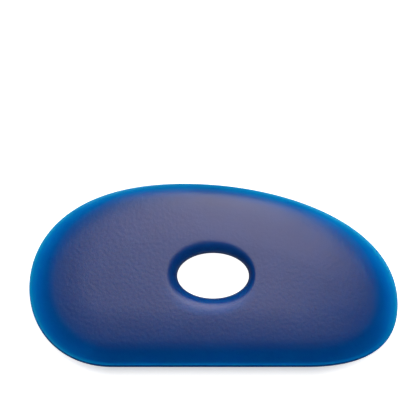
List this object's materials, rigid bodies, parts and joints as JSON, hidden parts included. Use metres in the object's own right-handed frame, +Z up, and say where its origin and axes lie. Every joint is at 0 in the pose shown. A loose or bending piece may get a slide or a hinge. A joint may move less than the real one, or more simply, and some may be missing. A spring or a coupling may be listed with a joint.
{
  "type": "pottery rib",
  "caption": "Kidney-shaped pottery rib: thick flexible middle, tapered on both faces to a thin working edge, with an oval finger hole with rolled rims.",
  "frame": {"origin": "middle of the finger hole, on the resting face", "axes": "+X along the rib from the broad end to the narrow end, +Y across it from the straight edge to the long curved edge, +Z up through its thickness"},
  "size_m": [0.0888, 0.0444, 0.0063],
  "materials": {
    "blue_polyurethane": "satin"
  },
  "bodies": {
    "root": {"rib_body": "blue_polyurethane"}
  },
  "joints": []
}
